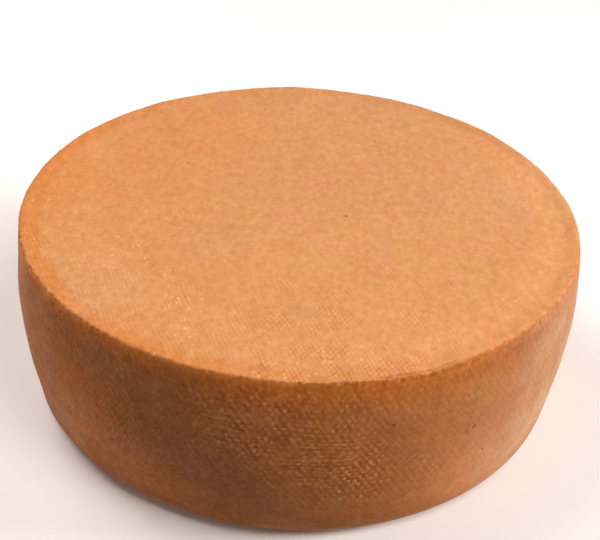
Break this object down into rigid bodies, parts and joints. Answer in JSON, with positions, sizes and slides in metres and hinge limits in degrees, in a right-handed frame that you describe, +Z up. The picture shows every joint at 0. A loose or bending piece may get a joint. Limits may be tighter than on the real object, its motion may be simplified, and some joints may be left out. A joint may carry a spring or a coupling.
{
  "type": "mountain cheese",
  "caption": "Whole wheel of pressed mountain cheese, with a gently bulging brown rind, a crisp crumbly upper edge and a flat base that it stands on.",
  "frame": {"origin": "middle of the flat base", "axes": "+Z up along the wheel's axis; -Y is the side that faces the viewer"},
  "size_m": [0.2799, 0.279, 0.0952],
  "materials": {
    "rind": "dry washed cheese rind with a cloth weave pressed in, pale orange on the top and brown on the side"
  },
  "bodies": {
    "root": {"cheese_wheel": "rind"}
  },
  "joints": []
}
